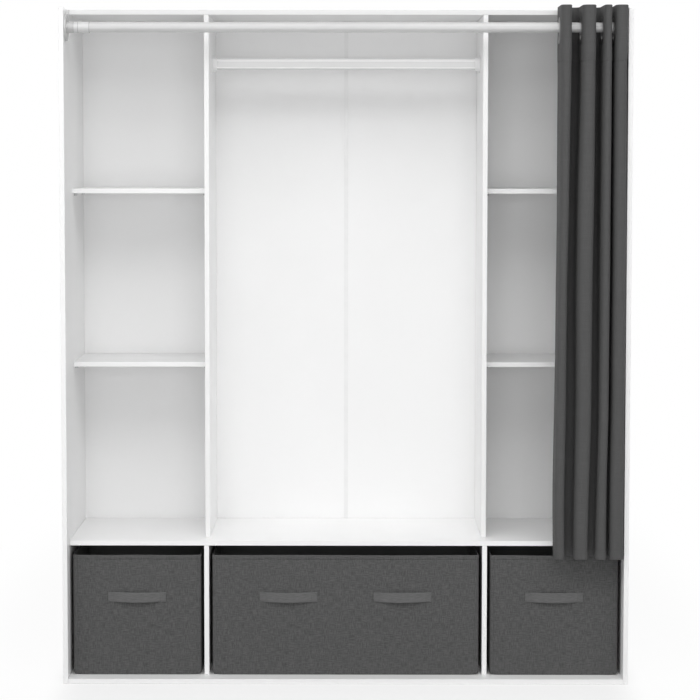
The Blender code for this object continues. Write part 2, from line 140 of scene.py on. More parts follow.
class Finish(Nodes):
    """A material being made."""

    def __init__(self, name):
        self.material = bpy.data.materials.new(name)
        self.material.use_nodes = True
        super().__init__(self.material.node_tree)

    def place(self, source="Object"):
        return self.node("ShaderNodeTexCoord", out=source)

    def parts(self, where):
        """The X, Y and Z of a vector."""
        first = self.node("ShaderNodeSeparateXYZ", sockets={0: where})
        return [Value(self, output) for output in first.socket.node.outputs]

    def noise(self, where, scale, detail=2.0, roughness=0.5, stretch=None):
        if stretch:
            where = self.node("ShaderNodeMapping", sockets={"Vector": where, "Scale": stretch})
        sockets = {"Vector": where, "Scale": scale, "Detail": detail, "Roughness": roughness}
        return self.node("ShaderNodeTexNoise", sockets=sockets)

    def spread(self, value, low, high, new_low=0.0, new_high=1.0):
        """value's range low to high, made new_low to new_high and held there."""
        sockets = {"Value": value, "From Min": low, "From Max": high, "To Min": new_low, "To Max": new_high}
        return self.node("ShaderNodeMapRange", {"interpolation_type": "SMOOTHSTEP"}, sockets)

    def mix(self, share, first, second):
        return self.node("ShaderNodeMix", {"data_type": "RGBA"}, {0: share, 6: first, 7: second}, out=2)

    def shades(self, value, low, high, dark, light):
        """Greys from dark to light as value goes from low to high."""
        return self.mix(self.spread(value, low, high), grey(dark), grey(light))

    def surface(self, colour, roughness, height, depth, more=None):
        """The finished material. A height of 1 stands depth metres high. more has further sockets."""
        bump = {"Height": height, "Distance": depth, "Strength": 1.0}
        normal = self.node("ShaderNodeBump", sockets=bump, out="Normal")
        sockets = {"Base Color": colour, "Roughness": roughness, "Normal": normal, **(more or {})}
        shader = self.node("ShaderNodeBsdfPrincipled", sockets=sockets)
        self.node("ShaderNodeOutputMaterial", sockets={"Surface": shader})
        return self.material


def shaded_board_levels(name):
    """The greys of a board's face and of the edge band along its front. The top board and the shelves, faces
    and bands, are made darker: painted shade.
    """
    if name == "top_board":
        return 0.91, 0.915
    if "shelf" in name:
        return 0.925, 0.955
    if "divider" in name:
        return 0.968, 0.955
    return 0.968, 0.974


def board_finish(name, low, high):
    """White melamine on chipboard: banded along its front edge, raw at its rear edge and under its foot."""
    f = Finish(name + "_melamine")
    where = f.place()
    _, y, z = f.parts(where)
    cloud = f.noise(where, 5.0, detail=3.0)
    pearl = f.noise(where, 900.0, detail=2.0)
    scuff = f.noise(where, 60.0, detail=6.0, roughness=0.7, stretch=(1.0, 0.25, 1.0))
    # Painted shade: the top board and the shelves get darker greys than the other boards.
    level, band_level = shaded_board_levels(name)
    face = f.shades(cloud, 0.35, 0.65, level - 0.004, level + 0.004)
    face = f.mix(f.spread(scuff, 0.62, 0.80) * 0.12, face, grey(0.86))
    from_front = y - low[1]
    band = f.spread(from_front, 0.5 * MM, 0.7 * MM, 1.0, 0.0)
    seam = f.spread(abs(from_front - 0.8 * MM), 0.1 * MM, 0.35 * MM, 1.0, 0.0)
    colour = f.mix(band, face, grey(band_level))
    colour = f.mix(seam * 0.30, colour, grey(0.70))
    grain = f.noise(where, 420.0, detail=4.0, roughness=0.7)
    chips = f.mix(f.spread(grain, 0.35, 0.65), grey(0.46, 0.06), grey(0.66, 0.07))
    rear = f.spread(y - high[1], -0.45 * MM, -0.25 * MM)
    foot = f.spread(z, 0.2 * MM, 0.35 * MM, 1.0, 0.0)
    raw = f.math("MAXIMUM", rear, foot)
    colour = f.mix(raw, colour, chips)
    roughness = 0.40 + 0.10 * cloud + 0.35 * raw - 0.06 * band + 0.10 * f.spread(scuff, 0.6, 0.8)
    height = pearl * 0.04 + scuff * 0.02 - seam * 0.25 + raw * grain * 0.6
    return f.surface(colour, roughness, height, 0.3 * MM)


def back_finish():
    """Thin white hardboard: fine fibres, a faint dimpled face."""
    f = Finish("white_hardboard")
    where = f.place()
    cloud = f.noise(where, 3.0, detail=4.0)
    fibre = f.noise(where, 260.0, detail=5.0, roughness=0.65, stretch=(1.0, 1.0, 0.35))
    dimple = f.noise(where, 700.0, detail=1.0)
    _, y, _ = f.parts(where)
    behind = f.spread(y, 192.5 * MM, 193.2 * MM)
    face = f.shades(cloud, 0.3, 0.7, 0.962, 0.970)
    rear = f.mix(f.spread(fibre, 0.35, 0.65), grey(0.78, 0.012), grey(0.86, 0.010))
    colour = f.mix(behind, face, rear)
    roughness = 0.50 + 0.12 * fibre + 0.2 * behind
    height = dimple * 0.05 + fibre * 0.03 + behind * fibre * 0.25
    return f.surface(colour, roughness, height, 0.3 * MM)


def plastic_finish():
    f = Finish("white_moulded_plastic")
    where = f.place()
    cloud = f.noise(where, 30.0, detail=3.0)
    spark = f.noise(where, 1600.0, detail=1.0)
    colour = f.shades(cloud, 0.3, 0.7, 0.925, 0.94)
    height = spark * 0.05 + cloud * 0.05
    return f.surface(colour, 0.34 + 0.12 * cloud, height, 0.2 * MM, {"Coat Weight": 0.1})


def powder_coat_finish(name, level, sheen, rolled=None, joints=()):
    """White powder coat on steel: fine orange peel under a sheen of this roughness.

    rolled is the (low, high) of a rail in Z: painted highlights lighten the coat in a band near its top and
    another near its bottom.
    joints are places in X with a fine dark line round the tube.
    """
    f = Finish(name)
    where = f.place()
    x, _, z = f.parts(where)
    peel = f.noise(where, 520.0, detail=2.0)
    cloud = f.noise(where, 14.0, detail=3.0, stretch=(0.3, 1.0, 1.0))
    rub = f.noise(where, 90.0, detail=5.0, roughness=0.7, stretch=(0.12, 1.0, 1.0))
    colour = f.shades(cloud, 0.3, 0.7, level - 0.008, level + 0.008)
    colour = f.mix(f.spread(rub, 0.60, 0.78) * 0.15, colour, grey(level - 0.10))
    if rolled:
        # Painted highlights: a light band near the rail's top and another near its bottom.
        from_middle = z - (rolled[0] + rolled[1]) / 2
        upper = f.spread(abs(from_middle - 10.4 * MM), 2.6 * MM, 4.4 * MM, 1.0, 0.0)
        lower = f.spread(abs(from_middle + 9.2 * MM), 1.0 * MM, 2.4 * MM, 1.0, 0.0)
        colour = f.mix(f.math("MAXIMUM", upper, lower), colour, grey(0.972))
    height = peel
    for joint in joints:
        line = f.spread(abs(x - joint), 0.35 * MM, 0.9 * MM, 1.0, 0.0)
        colour = f.mix(line * 0.6, colour, grey(0.42))
        height = height - 3.0 * line
    coat = {"Coat Weight": 0.9, "Coat Roughness": sheen}
    return f.surface(colour, 0.30 + 0.08 * rub, height, 0.04 * MM, coat)


def bonded_finish(name, source, fibre_scale, cloud_scale, dot_scale, dark, light, blotch):
    """Grey bonded fibre with small pressed dots."""
    f = Finish(name)
    where = f.place(source)
    fibre = f.noise(where, fibre_scale, detail=5.0, roughness=0.7)
    cloud = f.noise(where, cloud_scale, detail=3.0)
    sockets = {"Vector": where, "Scale": dot_scale}
    dots = f.node("ShaderNodeTexVoronoi", {"feature": "F1"}, sockets, out="Distance")
    colour = f.shades(fibre, 0.3, 0.7, dark, light)
    colour = f.mix(f.spread(cloud, 0.3, 0.7) * 0.3, colour, grey(blotch))
    height = f.spread(dots, 0.15, 0.4) * 0.3 + fibre * 0.4
    return f.surface(colour, 0.85 + 0.1 * fibre, height, 0.25 * MM)


def steel_finish(name, level, roughness, metal=1.0):
    """Plated steel: fine turned lines and faint clouding."""
    f = Finish(name)
    where = f.place()
    cloud = f.noise(where, 120.0, detail=4.0)
    lines = f.noise(where, 1500.0, detail=2.0, stretch=(1.0, 0.15, 0.15))
    colour = f.shades(cloud, 0.3, 0.7, level - 0.03, level + 0.02)
    roughness = roughness + 0.10 * lines + 0.05 * cloud
    return f.surface(colour, roughness, lines * 0.2 + cloud * 0.2, 0.1 * MM, {"Metallic": metal})


def weave(f, along, up, pitch):
    """The height of a plain weave of threads at this pitch, from 0 to 1."""
    turn = 2 * math.pi / pitch
    across = (along * turn).math("SINE")
    down = (up * turn).math("SINE")
    return 0.5 + 0.5 * across * down


def curtain_finish():
    """Dark grey plain weave, matt, with a little unevenness of its threads."""
    f = Finish("curtain_weave")
    where = f.place("UV")
    along, up, _ = f.parts(where)
    threads = weave(f, along, up, 1.3 * MM)
    warp = f.noise(where, 900.0, detail=2.0, stretch=(1.0, 0.03, 1.0))
    weft = f.noise(where, 900.0, detail=2.0, stretch=(0.03, 1.0, 1.0))
    cloud = f.noise(where, 7.0, detail=4.0)
    fuzz = f.noise(where, 2600.0, detail=1.0)
    tone = f.spread(warp * 0.5 + weft * 0.5, 0.36, 0.64)
    colour = f.mix(tone, grey(0.318), grey(0.348))
    colour = f.mix(f.spread(cloud, 0.35, 0.7) * 0.35, colour, grey(0.322))
    # Painted shade: darker between the threads, in the weave's hollows.
    colour = f.mix((1 - threads) * 0.22, colour, grey(0.25))
    height = threads * 0.55 + warp * 0.25 + weft * 0.25 + fuzz * 0.2
    more = {"Sheen Weight": 0.06, "Sheen Roughness": 0.5, "Specular IOR Level": 0.25}
    return f.surface(colour, 0.82 + 0.12 * fuzz, height, 0.18 * MM, more)


def linen_finish(name, dark, light, thread=1.9 * MM):
    """Linen look: thick and thin threads that cross, with short slubs both ways."""
    f = Finish(name)
    where = f.place("UV")
    along, up, _ = f.parts(where)
    threads = weave(f, along, up, thread)
    warp = f.noise(where, 500.0, detail=2.0, roughness=0.6, stretch=(1.0, 0.12, 1.0))
    weft = f.noise(where, 500.0, detail=2.0, roughness=0.6, stretch=(0.12, 1.0, 1.0))
    patch = 0.30 + 0.4 * f.spread(f.noise(where, 45.0, detail=3.0), 0.40, 0.60)
    fuzz = f.noise(where, 1900.0, detail=1.0)
    lengthways = f.spread(warp, 0.36, 0.64)
    crossways = f.spread(weft, 0.36, 0.64)
    tone = lengthways * (1 - patch) + crossways * patch
    colour = f.mix(tone, grey(dark), grey(light))
    # Painted shade: darker between the threads, in the weave's hollows.
    colour = f.mix((1 - threads) * 0.20, colour, grey(dark - 0.07))
    height = threads * 0.5 + lengthways * 0.4 + crossways * 0.4 + fuzz * 0.2
    more = {"Sheen Weight": 0.05, "Sheen Roughness": 0.5, "Specular IOR Level": 0.2}
    return f.surface(colour, 0.84 + 0.12 * fuzz, height, 0.28 * MM, more)


def strap_finish():
    """Flat woven strap: fine ribs along it and a fleck across."""
    f = Finish("bin_strap_weave")
    where = f.place("UV")
    along, up, _ = f.parts(where)
    ribs = (up * (2 * math.pi / (1.7 * MM))).math("SINE")
    cross = (along * (2 * math.pi / (1.5 * MM))).math("SINE")
    fleck = f.noise(where, 500.0, detail=3.0, stretch=(0.12, 1.0, 1.0))
    fuzz = f.noise(where, 2400.0, detail=1.0)
    colour = f.shades(fleck, 0.34, 0.66, 0.385, 0.43)
    # Painted shade: darker in the hollows between the ribs.
    colour = f.mix((0.5 - 0.5 * ribs) * 0.20, colour, grey(0.30))
    height = ribs * 0.30 + ribs * cross * 0.20 + fleck * 0.2 + fuzz * 0.15
    return f.surface(colour, 0.78 + 0.12 * fuzz, height, 0.2 * MM, {"Specular IOR Level": 0.25})


def thread_finish():
    f = Finish("sewing_thread")
    where = f.place()
    ply = f.noise(where, 1800.0, detail=2.0)
    colour = f.shades(ply, 0.3, 0.7, 0.24, 0.31)
    return f.surface(colour, 0.55 + 0.2 * ply, ply, 0.1 * MM)


white_back = back_finish()
white_plastic = plastic_finish()
powder_coat = powder_coat_finish("white_powder_coat", 0.84, 0.09)
rail_edges = [corner.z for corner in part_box("hanging_rail")]
# The rail's coat is a darker copy of the white coat, as painted shade, with painted highlights near its top
# and bottom.
rail_shaded_highlit_coat = powder_coat_finish("rail_painted_light_coat", 0.825, 0.09, rolled=rail_edges)
# The rod and its sleeves get darker copies of the white coat: painted shade.
rod_shaded_coat = powder_coat_finish("rod_painted_shade_coat", 0.79, 0.045)
left_joint, right_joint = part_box("left_rod_sleeve")[1].x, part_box("right_rod_sleeve")[0].x
sleeve_shaded_coat = powder_coat_finish("sleeve_painted_shade_coat", 0.81, 0.06, joints=(
    left_joint - 0.5 * MM, left_joint - 28 * MM, left_joint - 39 * MM,
    right_joint + 0.5 * MM, right_joint + 28 * MM, right_joint + 39 * MM,
))
zinc = steel_finish("zinc_plated_steel", 0.78, 0.30)
nickel = steel_finish("satin_nickel", 0.64, 0.28, metal=0.8)
curtain_weave = curtain_finish()
bin_linen = linen_finish("bin_linen", 0.300, 0.400)
bin_lining = bonded_finish("bin_lining", "UV", 520.0, 12.0, 500.0, 0.47, 0.53, 0.46)
strap_weave = strap_finish()
thread = thread_finish()
insert_cover = bonded_finish("insert_cover", "Object", 380.0, 9.0, 450.0, 0.34, 0.39, 0.33)
# The flanges get a darker copy of the white coat: painted shade, for the shadow between flange and side
# panel.
flange_shaded_coat = powder_coat_finish("flange_painted_shade_coat", 0.74, 0.12)

FINISH_OF_NODE = {
    "left_rod_flange": flange_shaded_coat,
    "right_rod_flange": flange_shaded_coat,
    "hanging_rail": rail_shaded_highlit_coat,
    "curtain_rod": rod_shaded_coat,
    "left_rod_sleeve": sleeve_shaded_coat,
    "right_rod_sleeve": sleeve_shaded_coat,
}
FINISH_OF_SLOT = {
    "white_back": white_back,
    "white_plastic": white_plastic,
    "white_steel": powder_coat,
    "screw_steel": zinc,
    "eyelet_metal": nickel,
    "curtain_cloth": curtain_weave,
    "bin_cloth": bin_linen,
    "bin_strap": strap_weave,
    "insert_board": insert_cover,
}


def finish_frame():
    """Every CAD node gets its finish."""
    for name, obj in frame["nodes"].items():
        if name in BOARDS:
            low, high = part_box(name)
            material = board_finish(name, low, high)
        else:
            material = FINISH_OF_NODE.get(name, FINISH_OF_SLOT[SLOT_OF[name]])
        obj.data.materials.clear()
        obj.data.materials.append(material)


# ---------------------------------------------------------------- mesh helpers

def add_object(name, data):
    obj = bpy.data.objects.new(name, data)
    bpy.context.scene.collection.objects.link(obj)
    return obj


def finished(obj, material, sharp=40):
    """Gives a piece its material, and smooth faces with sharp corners."""
    obj.data.materials.clear()
    obj.data.materials.append(material)
    obj.data.shade_smooth()
    obj.data.set_sharp_from_angle(angle=math.radians(sharp))
    return obj


def mesh_of(name, points, faces, uvs=None):
    """A mesh from points and faces. uvs has one pair for each corner of each face."""
    mesh = bpy.data.meshes.new(name)
    mesh.from_pydata([tuple(p) for p in points], [], faces)
    if uvs is not None:
        layer = mesh.uv_layers.new(name="cloth")
        layer.data.foreach_set("uv", np.asarray(uvs, np.float32).ravel())
    mesh.validate()
    mesh.update()
    return mesh


def outward(mesh):
    """Turns the faces of a closed mesh outward."""
    bm = bmesh.new()
    bm.from_mesh(mesh)
    bmesh.ops.recalc_face_normals(bm, faces=bm.faces)
    bm.to_mesh(mesh)
    bm.free()
    return mesh


def ring_faces(rings, count):
    """The quads between each ring of count points and the next."""
    return [
        (r * count + a, r * count + b, (r + 1) * count + b, (r + 1) * count + a)
        for r in range(rings - 1) for a in range(count) for b in [(a + 1) % count]
    ]


def resampled(path, count):
    """count points evenly along a path of points."""
    steps = np.linalg.norm(np.diff(path, axis=0), axis=1)
    length = np.concatenate([[0], np.cumsum(steps)])
    wanted = np.linspace(0, length[-1], count)
    return np.stack([np.interp(wanted, length, path[:, k]) for k in range(path.shape[1])], axis=1)


def ease(value, low, high):
    """0 below low, 1 above high, smooth between."""
    t = np.clip((value - low) / (high - low), 0, 1)
    return t * t * (3 - 2 * t)


# ---------------------------------------------------------------- repeated small pieces

def repeat_tree():
    """Geometry Nodes: a small piece on every point, turned as the point says, with a little scatter."""
    tree = bpy.data.node_groups.new("repeat_on_points", "GeometryNodeTree")
    kinds = {"Points": "Geometry", "Piece": "Object", "Scatter": "Float", "Finish": "Material"}
    sockets = {}
    for name, kind in kinds.items():
        socket = tree.interface.new_socket(name, in_out="INPUT", socket_type="NodeSocket" + kind)
        sockets[name] = socket.identifier
    tree.interface.new_socket("Result", in_out="OUTPUT", socket_type="NodeSocketGeometry")
    g = Nodes(tree)
    points, piece, scatter, finish = (g.node("NodeGroupInput", out=name) for name in sockets)
    vector = {"data_type": "FLOAT_VECTOR"}
    shape = g.node("GeometryNodeObjectInfo", sockets={"Object": piece}, out="Geometry")
    turn = g.node("GeometryNodeInputNamedAttribute", vector, {"Name": "turn"}, out="Attribute")
    reach = {"Min": (-1, -1, -1), "Max": (1, 1, 1), "Seed": 7}
    chance = g.node("FunctionNodeRandomValue", vector, reach, out="Value")
    scaled = {0: chance, "Scale": scatter}
    wobble = g.node("ShaderNodeVectorMath", {"operation": "SCALE"}, scaled, out="Vector")
    angle = g.node("ShaderNodeVectorMath", {"operation": "ADD"}, {0: turn, 1: wobble}, out="Vector")
    placing = {"Points": points, "Instance": shape, "Rotation": angle}
    copies = g.node("GeometryNodeInstanceOnPoints", sockets=placing)
    plain = g.node("GeometryNodeRealizeInstances", sockets={"Geometry": copies})
    painted = g.node("GeometryNodeSetMaterial", sockets={"Geometry": plain, "Material": finish})
    g.node("NodeGroupOutput", sockets={0: painted})
    return tree, sockets


REPEAT_TREE, REPEAT_SOCKETS = repeat_tree()


def repeat(name, template, places, turns, material, scatter=0.0):
    """Copies of a template mesh at places, each turned by its Euler angles, as one plain mesh object."""
    mesh = bpy.data.meshes.new(name + "_points")
    mesh.from_pydata([tuple(p) for p in places], [], [])
    attribute = mesh.attributes.new("turn", "FLOAT_VECTOR", "POINT")
    attribute.data.foreach_set("vector", np.asarray(turns, np.float32).ravel())
    holder = add_object(name + "_points", mesh)
    model = add_object(name + "_template", template)
    modifier = holder.modifiers.new("repeat", "NODES")
    modifier.node_group = REPEAT_TREE
    modifier[REPEAT_SOCKETS["Piece"]] = model
    modifier[REPEAT_SOCKETS["Scatter"]] = scatter
    modifier[REPEAT_SOCKETS["Finish"]] = material
    bpy.context.view_layer.update()
    evaluated = holder.evaluated_get(bpy.context.evaluated_depsgraph_get())
    plain = bpy.data.meshes.new_from_object(evaluated)
    plain.name = name
    holder.modifiers.remove(modifier)
    bpy.data.objects.remove(holder, do_unlink=True)
    bpy.data.objects.remove(model, do_unlink=True)
    obj = add_object(name, plain)
    obj.data.shade_smooth()
    return obj


def turned_mesh(name, profile, steps):
    """A closed mesh turned about X from (radius, x) points in mm, from one end of its axis to the other."""
    points, rings = [], []
    for radius, x in profile:
        radius, x = radius * MM, x * MM
        if radius == 0:
            rings.append([len(points)] * steps)
            points.append((x, 0, 0))
            continue
        rings.append(range(len(points), len(points) + steps))
        for step in range(steps):
            angle = 2 * math.pi * step / steps
            points.append((x, radius * math.cos(angle), radius * math.sin(angle)))
    faces = []
    for lower, upper in zip(rings, rings[1:]):
        for a in range(steps):
            b = (a + 1) % steps
            corners = []
            for corner in (lower[a], upper[a], upper[b], lower[b]):
                if corner not in corners:
                    corners.append(corner)
            faces.append(corners)
    return outward(mesh_of(name, points, faces))


def stitch_mesh(length, width):
    """One sewn stitch along X: a short bead whose ends dive into the cloth, +Z away from it."""
    points = []
    rings, sides = 5, 6
    for k in range(rings):
        t = k / (rings - 1)
        swell = math.sin(math.pi * (0.12 + 0.76 * t))
        rise = width * (0.9 * math.sin(math.pi * t) - 0.35)
        for side in range(sides):
            angle = 2 * math.pi * side / sides
            points.append((
                (t - 0.5) * length,
                width / 2 * swell * math.cos(angle),
                rise + width / 2 * swell * math.sin(angle),
            ))
    faces = ring_faces(rings, sides)
    faces.append(tuple(range(sides)))
    faces.append(tuple(reversed(range((rings - 1) * sides, rings * sides))))
    return outward(mesh_of("stitch", points, faces))


def sewn(name, paths, length=3.0 * MM, gap=1.4 * MM, width=0.55 * MM):
    """Stitches along paths. Each path is (points, normals) on the cloth."""
    places, turns = [], []
    for points, normals in paths:
        steps = np.linalg.norm(np.diff(points, axis=0), axis=1)
        total = float(steps.sum())
        count = max(2, int(total / (length + gap)))
        both = np.concatenate([points, normals], axis=1)
        reach = np.concatenate([[0], np.cumsum(steps)])
        for k in range(count):
            middle = (k + 0.5) * total / count
            at = [np.interp(middle, reach, both[:, i]) for i in range(6)]
            near = [np.interp(middle - length / 2, reach, points[:, i]) for i in range(3)]
            far = [np.interp(middle + length / 2, reach, points[:, i]) for i in range(3)]
            x = Vector(far) - Vector(near)
            x.normalize()
            z = Vector(at[3:])
            z = (z - z.dot(x) * x).normalized()
            y = z.cross(x)
            places.append(at[:3])
            turns.append(tuple(Matrix((x, y, z)).transposed().to_euler("XYZ")))
    return repeat(name, stitch_mesh(length, width), places, turns, thread, scatter=0.03)


# ---------------------------------------------------------------- curtain

RING_BODIES = ["curtain_lead"] + [f"curtain_ring_{n}" for n in range(2, 9)]
RINGS = []
for ring in range(1, 9):
    ring_low, ring_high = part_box(f"eyelet_{ring}")
    RINGS.append((ring_low + ring_high) / 2)
ROD_Y, RING_Z = RINGS[0].y, RINGS[0].z
CLOTH_LOW, CLOTH_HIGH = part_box("curtain_cloth")
MIDDLE_LOW, MIDDLE_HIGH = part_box("middle_board")
FRONT_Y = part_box("left_side_panel")[0].y
HEM = CLOTH_LOW.z
HEADER_TOP = CLOTH_HIGH.z + 3.0 * MM
HALF_CLOTH = 0.8 * MM
FOLD_FRONT, FOLD_BACK = 60.2 * MM, 57.2 * MM
LOW_FRONT = FRONT_Y - 21.2 * MM
LOW_BACK = MIDDLE_LOW.y - 4.5 * MM
FLAT_HALF = 34.5 * MM
HOLE_RADIUS = 25.5 * MM
HEADER_SEAM = 1.538
HEM_SEAM = HEM + 22 * MM
# How far each leg of the folds hangs off its own ring in X, in mm, at heights from the hem to the rings
LEG_HEIGHTS = (HEM, 0.338, 0.460, 0.706, 0.951, 1.197, 1.393, 1.492, RING_Z - 36 * MM)
LEG_DRIFT = (
    (-5.8, -6.7, -7.8, -4.4, -2.1, 0.4, 0.8, 1.0, 0.0),
    (-10.4, -10.4, -10.9, -7.9, -7.0, -3.9, -2.1, -0.9, 0.0),
    (-11.9, -11.9, -11.1, -8.0, -8.8, -6.8, -2.1, -0.6, 0.0),
    (-10.3, -10.3, -7.8, -3.0, -3.9, -1.9, -0.5, 0.2, 0.0),
    (-10.5, -10.5, -7.9, -3.3, -3.1, -2.7, -1.8, -1.6, 0.0),
    (-3.6, -3.6, -2.8, 1.0, 0.6, 0.3, 0.3, 0.0, 0.0),
    (-4.3, -4.3, -4.1, -2.2, -1.3, -0.2, -0.2, -0.3, 0.0),
    (5.3, 5.3, 5.3, 4.8, 3.4, 1.8, 1.0, 0.4, 0.0),
)
# How far each front fold swells out to the right past its leg, in mm, in the upper part of the cloth
FRONT_SWELL = (0.3, 2.0, 2.0, 4.2)
HEADER_SWELL = (0.0, 0.0, 0.0, 2.2)
SWELL_HEIGHTS = (0.6, 1.3)
# The share of a leg that hangs straight below the rings, and how square the folds' ends are: 2 is an ellipse
LOW_FLAT = 0.42
FRONT_BLUNT, BACK_BLUNT = 2.8, 3.2
# The free edges bend beyond this share of their depth, and curl the more the higher between these heights
TAIL_FLAT = 0.61
TAIL_HEIGHTS = (1.38, 1.56)
LEG_COLUMNS, CAP_COLUMNS, TAIL_COLUMNS = 13, 25, 22


def smooth_levels(heights, values, height):
    """The value at a height, on a curve without corners through the values at these heights."""
    rises = [(b - a) / (d - c) for a, b, c, d in zip(values, values[1:], heights, heights[1:])]
    slopes = [0.0]
    for left, right in zip(rises, rises[1:]):
        slopes.append(2 * left * right / (left + right) if left * right > 0 else 0.0)
    slopes.append(0.0)
    height = min(max(height, heights[0]), heights[-1])
    for k in range(len(heights) - 1):
        if height <= heights[k + 1]:
            span = heights[k + 1] - heights[k]
            t = (height - heights[k]) / span
            a, b = values[k], values[k + 1]
            return (
                a * (2 * t ** 3 - 3 * t ** 2 + 1)
                + slopes[k] * span * (t ** 3 - 2 * t ** 2 + t)
                + b * (3 * t ** 2 - 2 * t ** 3)
                + slopes[k + 1] * span * (t ** 3 - t ** 2)
            )
    return values[-1]


def leg_x(leg, height):
    return RINGS[leg].x + MM * smooth_levels(LEG_HEIGHTS, LEG_DRIFT[leg], height)


def fold_reach(height):
    """Places in Y: the folds' front ends, their back ends, and the middle that they swing about."""
    t = min(max((height - MIDDLE_HIGH.z) / (RING_Z - 36 * MM - MIDDLE_HIGH.z), 0), 1)
    ahead = LOW_FRONT + t * (ROD_Y - FOLD_FRONT - LOW_FRONT)
    behind = LOW_BACK + t * (ROD_Y + FOLD_BACK - LOW_BACK)
    return ahead, behind, behind + (ahead - behind) * FOLD_BACK / (FOLD_FRONT + FOLD_BACK)


def ripple(leg, height, seed):
    """A slow, even sway of a fold, from -1 to 1, the same every run."""
    a = 1.7 * leg + 2.3 * seed
    return 0.6 * math.sin(3.1 * height + a) + 0.4 * math.sin(7.3 * height + 2.1 * a)


def fold_row(leg, height):
    """The cloth's middle surface at one height, from the middle of a leg to the middle of the next."""
    ahead, behind, middle = fold_reach(height)
    front = leg % 2 == 0
    way = -1 if front else 1
    below = 1 - ease(height, RING_Z - 80 * MM, RING_Z - 38 * MM)
    end = ahead if front else behind
    reach = abs(end - middle) - HALF_CLOTH
    reach += below * (0.0 if front else -0.8 * MM * (1 + ripple(leg, height, 3)))
    header_flat = FLAT_HALF / (reach + HALF_CLOTH)
    flat = reach * (header_flat + (LOW_FLAT - header_flat) * below)
    here, there = leg_x(leg, height), leg_x(leg + 1, height)
    belly = below * (0.5 * MM if front else 1.0 * MM)
    sway = below * 0.5 * MM * ripple(leg, height, 1)
    left, right = here - belly + sway, there + belly + sway
    if front:
        swell = FRONT_SWELL[leg // 2] * ease(height, *SWELL_HEIGHTS)
        right += (swell + HEADER_SWELL[leg // 2] * (1 - below)) * MM
    blunt = FRONT_BLUNT if front else BACK_BLUNT
    half = (right - left) / 2
    leg_steps = np.linspace(0, 1, LEG_COLUMNS)
    bend = leg_steps ** 2 * (3 - 2 * leg_steps)
    first = np.stack([here + (left - here) * bend, flat * leg_steps], axis=1)
    last = np.stack([there + (right - there) * bend, flat * leg_steps], axis=1)[::-1]
    angle = np.linspace(math.pi, 0, 241)
    cos, sin = np.cos(angle), np.sin(angle)
    cap = np.stack([
        (left + right) / 2 + half * np.sign(cos) * np.abs(cos) ** (2 / blunt),
        flat + (reach - flat) * np.abs(sin) ** (2 / blunt),
    ], axis=1)
    cap = resampled(cap, CAP_COLUMNS)
    row = np.concatenate([first, cap[1:-1], last])
    return np.stack([row[:, 0], middle + way * row[:, 1], np.full(len(row), height)], axis=1)


def tail_row(leg, height):
    """The cloth beyond its first or last leg, from the leg's middle to the free edge."""
    _, behind, middle = fold_reach(height)
    steps = np.linspace(0, 1, TAIL_COLUMNS)
    reach = behind - middle
    above = ease(height, *TAIL_HEIGHTS)
    curl = (5.0 * above + 0.8 * (1 - above)) * MM * (1 if leg == 0 else -0.4)
    bend = np.clip((steps - TAIL_FLAT) / (1 - TAIL_FLAT), 0, 1) ** 2
    x = leg_x(leg, height) + curl * bend
    return np.stack([x, middle + reach * steps, np.full(TAIL_COLUMNS, height)], axis=1)


def curtain_heights():
    """Rows of the cloth: close together at the rings, the header's seam and the hem."""
    levels = [HEM, HEM + 0.8 * MM]
    levels += [HEM + step * MM for step in (4, 9, 14, 18)]
    for seam in (HEM_SEAM, HEADER_SEAM):
        levels += [seam + step * MM for step in (-2.0, -0.9, 0.0, 0.9, 2.0)]
    levels += list(np.arange(HEM_SEAM + 7 * MM, HEADER_SEAM - 5 * MM, 8.5 * MM))
    levels += list(np.arange(HEADER_SEAM + 5 * MM, HEADER_TOP - 2 * MM, 2.8 * MM))
    levels += [HEADER_TOP - 1.2 * MM, HEADER_TOP]
    return np.array(sorted(levels))


def half_thickness(heights, edge):
    """Half the cloth's thickness: two layers in the header and hems, pulled in at their seams."""
    z = heights[:, None]
    body = np.full((len(heights), len(edge)), HALF_CLOTH)
    header = ease(z, HEADER_SEAM - 0.6 * MM, HEADER_SEAM + 1.2 * MM)
    ring_zone = ease(z, RING_Z - 40 * MM, RING_Z - 36 * MM)
    ring_zone = ring_zone * (1 - ease(z, RING_Z + 36 * MM, RING_Z + 40 * MM))
    body = body + header * (0.45 - 0.30 * ring_zone) * MM
    body = body + (1 - ease(z, HEM_SEAM - 1.2 * MM, HEM_SEAM + 0.6 * MM)) * 0.45 * MM
    for seam in (HEADER_SEAM, HEM_SEAM):
        body = body - 0.35 * MM * np.exp(-((z - seam) / (0.9 * MM)) ** 2)
    side = 1 - ease(edge, 14.5 * MM, 16 * MM)
    body = body + side[None, :] * 0.35 * MM
    body = body * (1 - 0.55 * ease(z, HEADER_TOP - 1.0 * MM, HEADER_TOP))
    body = body * (1 - 0.55 * (1 - ease(z, HEM, HEM + 0.8 * MM)))
    return body * (1 - 0.5 * (1 - ease(edge, 0, 1.2 * MM)))[None, :]


